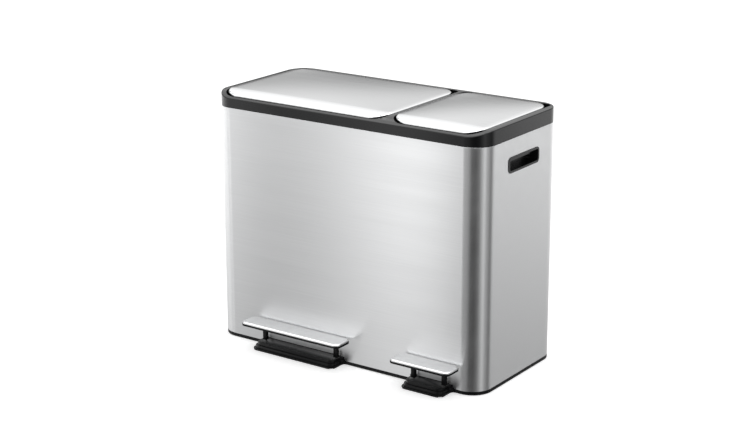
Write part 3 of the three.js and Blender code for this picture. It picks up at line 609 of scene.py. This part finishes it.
class BIN_OT_tread_frames(bpy.types.Operator):
    """Build the black frames under the treads, whose lips meet the steel"""

    bl_idname = "bin.tread_frames"
    bl_label = "Tread frames"

    def execute(self, context):
        shape = context.scene.bin_shape
        black = finishes()["guard"]
        for size in SIZES:
            node = f"pedal_frame_{size}"
            piece = merged_copy(node, f"tread_frame_{size}")
            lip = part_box(f"pedal_tread_{size}")[0].z - LIP_GAP
            for v in piece.data.vertices:
                if abs(v.co.z - lip) < LIP_REACH:
                    v.co.z += shape.tread_rise
            soften(piece, shape.moulded_edge)
            # Mirrored in the steel behind them, the posts would look twice as wide.
            piece.visible_glossy = False
            dress(piece, f"pedal_{size}", "black_plastic", black, node)
        return {"FINISHED"}


# ---- Steel of the lids and treads --------------------------------------------------------------

LID_STEP = 0.012  # between the edges across a lid
BROW_STEP = 0.003  # the same where it rolls down
BROW_MARGIN = 0.004  # how far behind the roll-down the close edges go on


def pressed_cap(name, low, high, corner, edge, gauge, surface, cuts=()):
    """A steel cap: rounded in plan, folded round its edge, as high as surface(x, y) says.

    The cuts are the places along X and then along Y at which its top can bend.
    """
    bm = bmesh.new()
    block(bm, low, high, corner, bpy.context.scene.bin_shape.corner_steps)
    for axis, places in enumerate(cuts):
        slice_at(bm, axis, places)
    for v in bm.verts:
        if v.co.z > high.z - LEVEL:
            v.co.z = surface(v.co.x, v.co.y)
    bottom = [f for f in bm.faces if all(v.co.z < low.z + LEVEL for v in f.verts)]
    bmesh.ops.delete(bm, geom=bottom, context="FACES")
    sides = {f for f in bm.faces if any(v.co.z < low.z + LEVEL for v in f.verts)}
    rim = [e for e in bm.edges if len(e.link_faces) == 2 and len(sides & set(e.link_faces)) == 1]
    bmesh.ops.bevel(
        bm, geom=rim, offset=edge, segments=FOLD_STEPS, profile=0.5, affect="EDGES", material=-1
    )
    piece = piece_from(bm, name, FOLD_SHARP)
    thicken(piece, gauge, FOLD_SHARP)
    return piece


def spaced(low, high, step):
    """Even places between two ends, about a step apart."""
    count = max(2, round((high - low) / step))
    return [low + (high - low) * i / count for i in range(1, count)]


def lid_surface(low, high, brow, shape):
    """The height of a lid's steel: it bulges in the middle and rolls down in front of the brow."""
    radius = (shape.brow_run**2 + shape.brow_drop**2) / (2 * shape.brow_drop)

    def height(x, y):
        across = 2 * (x - low.x) / (high.x - low.x) - 1
        along = 2 * (y - low.y) / (high.y - low.y) - 1
        bulge = shape.lid_crown * (1 - across**2) * (1 - along**2)
        beyond = min(max(0.0, brow - y), radius)
        roll = radius - math.sqrt(radius**2 - beyond**2)
        return shape.rim_height - roll + shape.lid_proud + bulge

    return height


class BIN_OT_lids(bpy.types.Operator):
    """Build the two lids' steel skins, rolling down towards the front"""

    bl_idname = "bin.lids"
    bl_label = "Lid steel"

    def execute(self, context):
        shape = context.scene.bin_shape
        steel = finishes()["lid"]
        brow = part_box("top_collar")[0].y + shape.brow_run
        bend_end = brow + BROW_MARGIN
        for size in SIZES:
            low, high = lid_box(size, shape)
            cuts = (
                spaced(low.x, high.x, LID_STEP),
                [*spaced(low.y, bend_end, BROW_STEP), *spaced(bend_end, high.y, LID_STEP)],
            )
            piece = pressed_cap(
                f"lid_steel_{size}", low, high, shape.lid_corner, shape.lid_edge,
                shape.skin_gauge, lid_surface(low, high, brow, shape), cuts,
            )
            dress(piece, f"lid_{size}", "brushed_steel", steel, f"lid_skin_{size}")
        return {"FINISHED"}


class BIN_OT_treads(bpy.types.Operator):
    """Build the two treads' steel caps with their rolled edges"""

    bl_idname = "bin.treads"
    bl_label = "Tread steel"

    def execute(self, context):
        shape = context.scene.bin_shape
        steel = finishes()["tread"]
        for size in SIZES:
            low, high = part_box(f"pedal_tread_{size}")
            low.z += shape.tread_rise
            piece = pressed_cap(
                f"tread_steel_{size}", low, high, shape.tread_corner, shape.tread_roll,
                shape.tread_gauge, lambda x, y, top=high.z: top,
            )
            dress(piece, f"pedal_{size}", "brushed_steel", steel, f"pedal_tread_{size}")
        return {"FINISHED"}


# ---- Inside ------------------------------------------------------------------------------------


class BIN_OT_inside(bpy.types.Operator):
    """Finish the buckets, the lifting gear, the hinges and the rubber parts"""

    bl_idname = "bin.inside"
    bl_label = "Buckets and linkage"

    def execute(self, context):
        finish = finishes()
        finish_of = {
            "grey_plastic": finish["liner"],
            "plain_steel": finish["zinc"],
            "rubber": finish["rubber"],
            "black_plastic": finish["black"],
        }
        record = frame["record"]
        body_of = {n: b for b, members in record["behaviour"]["bodies"].items() for n in members}
        for row in record["subparts"]:
            node, slot = row["node"], row["material_slot"]
            # A node that a piece already stands for is hidden.
            if frame["nodes"][node].hide_render or slot not in finish_of:
                continue
            piece = merged_copy(node, f"{node}_finished")
            if slot == "grey_plastic":
                soften(piece, context.scene.bin_shape.bucket_edge)
            dress(piece, body_of[node], slot, finish_of[slot], node)
        return {"FINISHED"}


# ---- Studio ------------------------------------------------------------------------------------

# Brightness of the studio round the bin as the steel mirrors it: (compass angle in degrees from
# the front, towards the right), level.
STUDIO_ROUND = (
    (-180, 0.78), (-156, 0.6), (-140, 0.66), (-115, 0.95), (-70, 1.1), (-45, 0.95), (-22, 0.5),
    (-6, 0.38), (14, 0.09), (34, 0.03), (52, 0.12), (66, 0.45), (80, 0.85), (94, 0.45),
    (120, 0.16), (136, 0.62), (152, 0.72), (180, 0.78),
)
# The same by height: (sine of the height), level.
STUDIO_HIGH = (
    (-1.0, 0.6), (-0.5, 0.45), (-0.4, 0.3), (-0.32, 0.7), (-0.25, 1.7), (-0.13, 2.1),
    (-0.04, 0.9), (0.04, 0.2), (0.12, 0.22), (0.18, 0.62), (0.25, 1.3), (0.32, 1.65),
    (0.45, 1.9), (0.66, 2.3), (0.74, 3.0), (0.8, 5.0), (1.0, 5.5),
)
# Overhead the compass bands run together, so they fade out between two sines of the height.
BAND_FADE = (-0.02, 0.14)
BAND_MEAN = 0.7  # the level that they fade to
# Brightness across the screen in front of the bin, by its place along X in metres.
SCREEN = (
    (-1.6, 1.0), (-1.05, 1.35), (-1.01, 1.15), (-0.965, 0.76), (-0.9, 0.54), (-0.77, 0.66),
    (-0.65, 0.88), (-0.53, 1.14), (-0.46, 1.36), (-0.4, 1.52), (-0.35, 1.4), (-0.325, 1.15),
    (-0.3, 0.82), (-0.265, 0.6), (-0.2, 0.46), (0.17, 0.38), (0.34, 0.24), (0.475, 0.09),
    (0.6, 0.05),
)
SCREEN_PLACE = -0.977  # along Y
SCREEN_SPAN = (-1.6, 0.68)  # from its foot to its top
# Its brightness by height: (metres above the floor, share).
SCREEN_HIGH = ((-0.45, 0.66), (0.2, 1.2))

FLOOR_REACH = 6  # from its middle to its edges
FLOOR_TONE = 0.8
FLOOR_ROUGHNESS = 0.9
FLOOR_GLOW = 0.5
SENSOR_WIDTH = 36  # millimetres
VIEW_END = 60  # how far the camera sees


def build_room(level):
    """An even white room; metal mirrors soft boxes and dark gaps in it."""
    world = bpy.data.worlds.new("room")
    bpy.context.scene.world = world
    room = Nodes(world)
    where = room.add("ShaderNodeTexCoord")
    parts = room.add("ShaderNodeSeparateXYZ", {"Vector": where.outputs["Generated"]})
    right, height = parts.outputs["X"], parts.outputs["Z"]
    front = room.add("ShaderNodeMath", {0: parts.outputs["Y"], 1: -1}, operation="MULTIPLY")
    compass = room.add("ShaderNodeMath", {0: right, 1: front.outputs[0]}, operation="ARCTAN2")
    bands = room.ramp(compass.outputs[0], STUDIO_ROUND, unit_size=math.radians(1))
    overhead = room.map_range(height, *BAND_FADE, interpolation_type="SMOOTHSTEP")
    faded = room.mix(overhead, bands, grey(BAND_MEAN))
    mirrored = room.mix(1, faded, room.ramp(height, STUDIO_HIGH), blend_type="MULTIPLY")
    path = room.add("ShaderNodeLightPath")
    lit = room.mix(path.outputs["Is Glossy Ray"], grey(level), mirrored)
    seen = room.mix(path.outputs["Is Camera Ray"], lit, WHITE)
    background = room.add("ShaderNodeBackground", {"Color": seen})
    room.add("ShaderNodeOutputWorld", {"Surface": background.outputs[0]})


def build_floor():
    """A white floor that keeps only the bin's own soft shadow."""
    bm = bmesh.new()
    bmesh.ops.create_grid(bm, x_segments=1, y_segments=1, size=FLOOR_REACH)
    floor = piece_from(bm, "floor")
    floor.visible_glossy = False
    paint = Finish("white_floor")
    paint.feed(paint.shader, {
        "Base Color": grey(FLOOR_TONE),
        "Roughness": FLOOR_ROUGHNESS,
        "Specular IOR Level": 0,
        "Emission Color": WHITE,
        "Emission Strength": FLOOR_GLOW,
    })
    floor.data.materials.append(paint.material)


def build_screen():
    """A shaded screen in front of the bin, seen only in its steel."""
    left, right = SCREEN[0][0], SCREEN[-1][0]
    foot, top = SCREEN_SPAN
    bm = bmesh.new()
    bmesh.ops.create_grid(bm, x_segments=1, y_segments=1, size=0.5)
    bmesh.ops.rotate(bm, verts=bm.verts, matrix=Matrix.Rotation(math.radians(90), 3, "X"))
    bmesh.ops.scale(bm, vec=(right - left, 1, top - foot), verts=bm.verts)
    middle = Vector(((left + right) / 2, SCREEN_PLACE, (foot + top) / 2))
    bmesh.ops.translate(bm, vec=middle, verts=bm.verts)
    screen = piece_from(bm, "screen")
    screen.visible_camera = False
    screen.visible_diffuse = False
    screen.visible_shadow = False
    screen.visible_transmission = False
    paint = material_named("shaded_screen")
    glow = Nodes(paint)
    where = glow.add("ShaderNodeTexCoord")
    parts = glow.add("ShaderNodeSeparateXYZ", {"Vector": where.outputs["Object"]})
    (dim_height, dim), (bright_height, bright) = SCREEN_HIGH
    light = glow.add("ShaderNodeEmission", {
        "Color": glow.ramp(parts.outputs["X"], SCREEN, interpolation="LINEAR"),
        "Strength": glow.map_range(parts.outputs["Z"], dim_height, bright_height, dim, bright),
    })
    glow.add("ShaderNodeOutputMaterial", {"Surface": light.outputs["Emission"]})
    screen.data.materials.append(paint)


class BIN_OT_studio(bpy.types.Operator):
    """Set the camera, the white floor and the soft light"""

    bl_idname = "bin.studio"
    bl_label = "Studio"

    def execute(self, context):
        studio = context.scene.bin_studio
        lens = bpy.data.cameras.new("camera")
        lens.lens = studio.lens
        lens.sensor_width = SENSOR_WIDTH
        lens.clip_end = VIEW_END
        camera = bpy.data.objects.new("camera", lens)
        context.scene.collection.objects.link(camera)
        camera.location = studio.camera_at
        sight = Vector(studio.aim) - Vector(studio.camera_at)
        roll = Quaternion((0, 0, 1), studio.roll)
        camera.rotation_mode = "QUATERNION"
        camera.rotation_quaternion = sight.to_track_quat("-Z", "Y") @ roll
        context.scene.camera = camera
        context.scene.view_settings.view_transform = "Standard"
        build_room(studio.room)
        build_floor()
        build_screen()
        return {"FINISHED"}


# ---- Panel and registration --------------------------------------------------------------------


class BIN_PT_panel(bpy.types.Panel):
    """Lists the bin's pieces and sizes"""

    bl_idname = "BIN_PT_panel"
    bl_label = "Double recycling bin"
    bl_space_type = "VIEW_3D"
    bl_region_type = "UI"
    bl_category = "Bin"

    def draw(self, context):
        column = self.layout.column()
        for operator in OPERATORS:
            column.operator(operator.bl_idname)
        for name in GROUPS:
            group = getattr(context.scene, name)
            for key in group.__annotations__:
                column.prop(group, key)


OPERATORS = (
    BIN_OT_studio,
    BIN_OT_steel_body,
    BIN_OT_mouldings,
    BIN_OT_inner_lids,
    BIN_OT_tread_frames,
    BIN_OT_lids,
    BIN_OT_treads,
    BIN_OT_inside,
)
GROUPS = {"bin_shape": BinShape, "bin_finish": BinFinish, "bin_studio": BinStudio}
CLASSES = (*GROUPS.values(), *OPERATORS, BIN_PT_panel)


def register():
    for cls in CLASSES:
        bpy.utils.register_class(cls)
    for name, group in GROUPS.items():
        setattr(bpy.types.Scene, name, PointerProperty(type=group))


def unregister():
    for name in GROUPS:
        delattr(bpy.types.Scene, name)
    for cls in reversed(CLASSES):
        bpy.utils.unregister_class(cls)


def main():
    register()
    bpy.ops.bin.studio()
    bpy.ops.bin.steel_body()
    bpy.ops.bin.mouldings()
    bpy.ops.bin.inner_lids()
    bpy.ops.bin.tread_frames()
    bpy.ops.bin.lids()
    bpy.ops.bin.treads()
    bpy.ops.bin.inside()


if __name__ == "__main__":
    main()
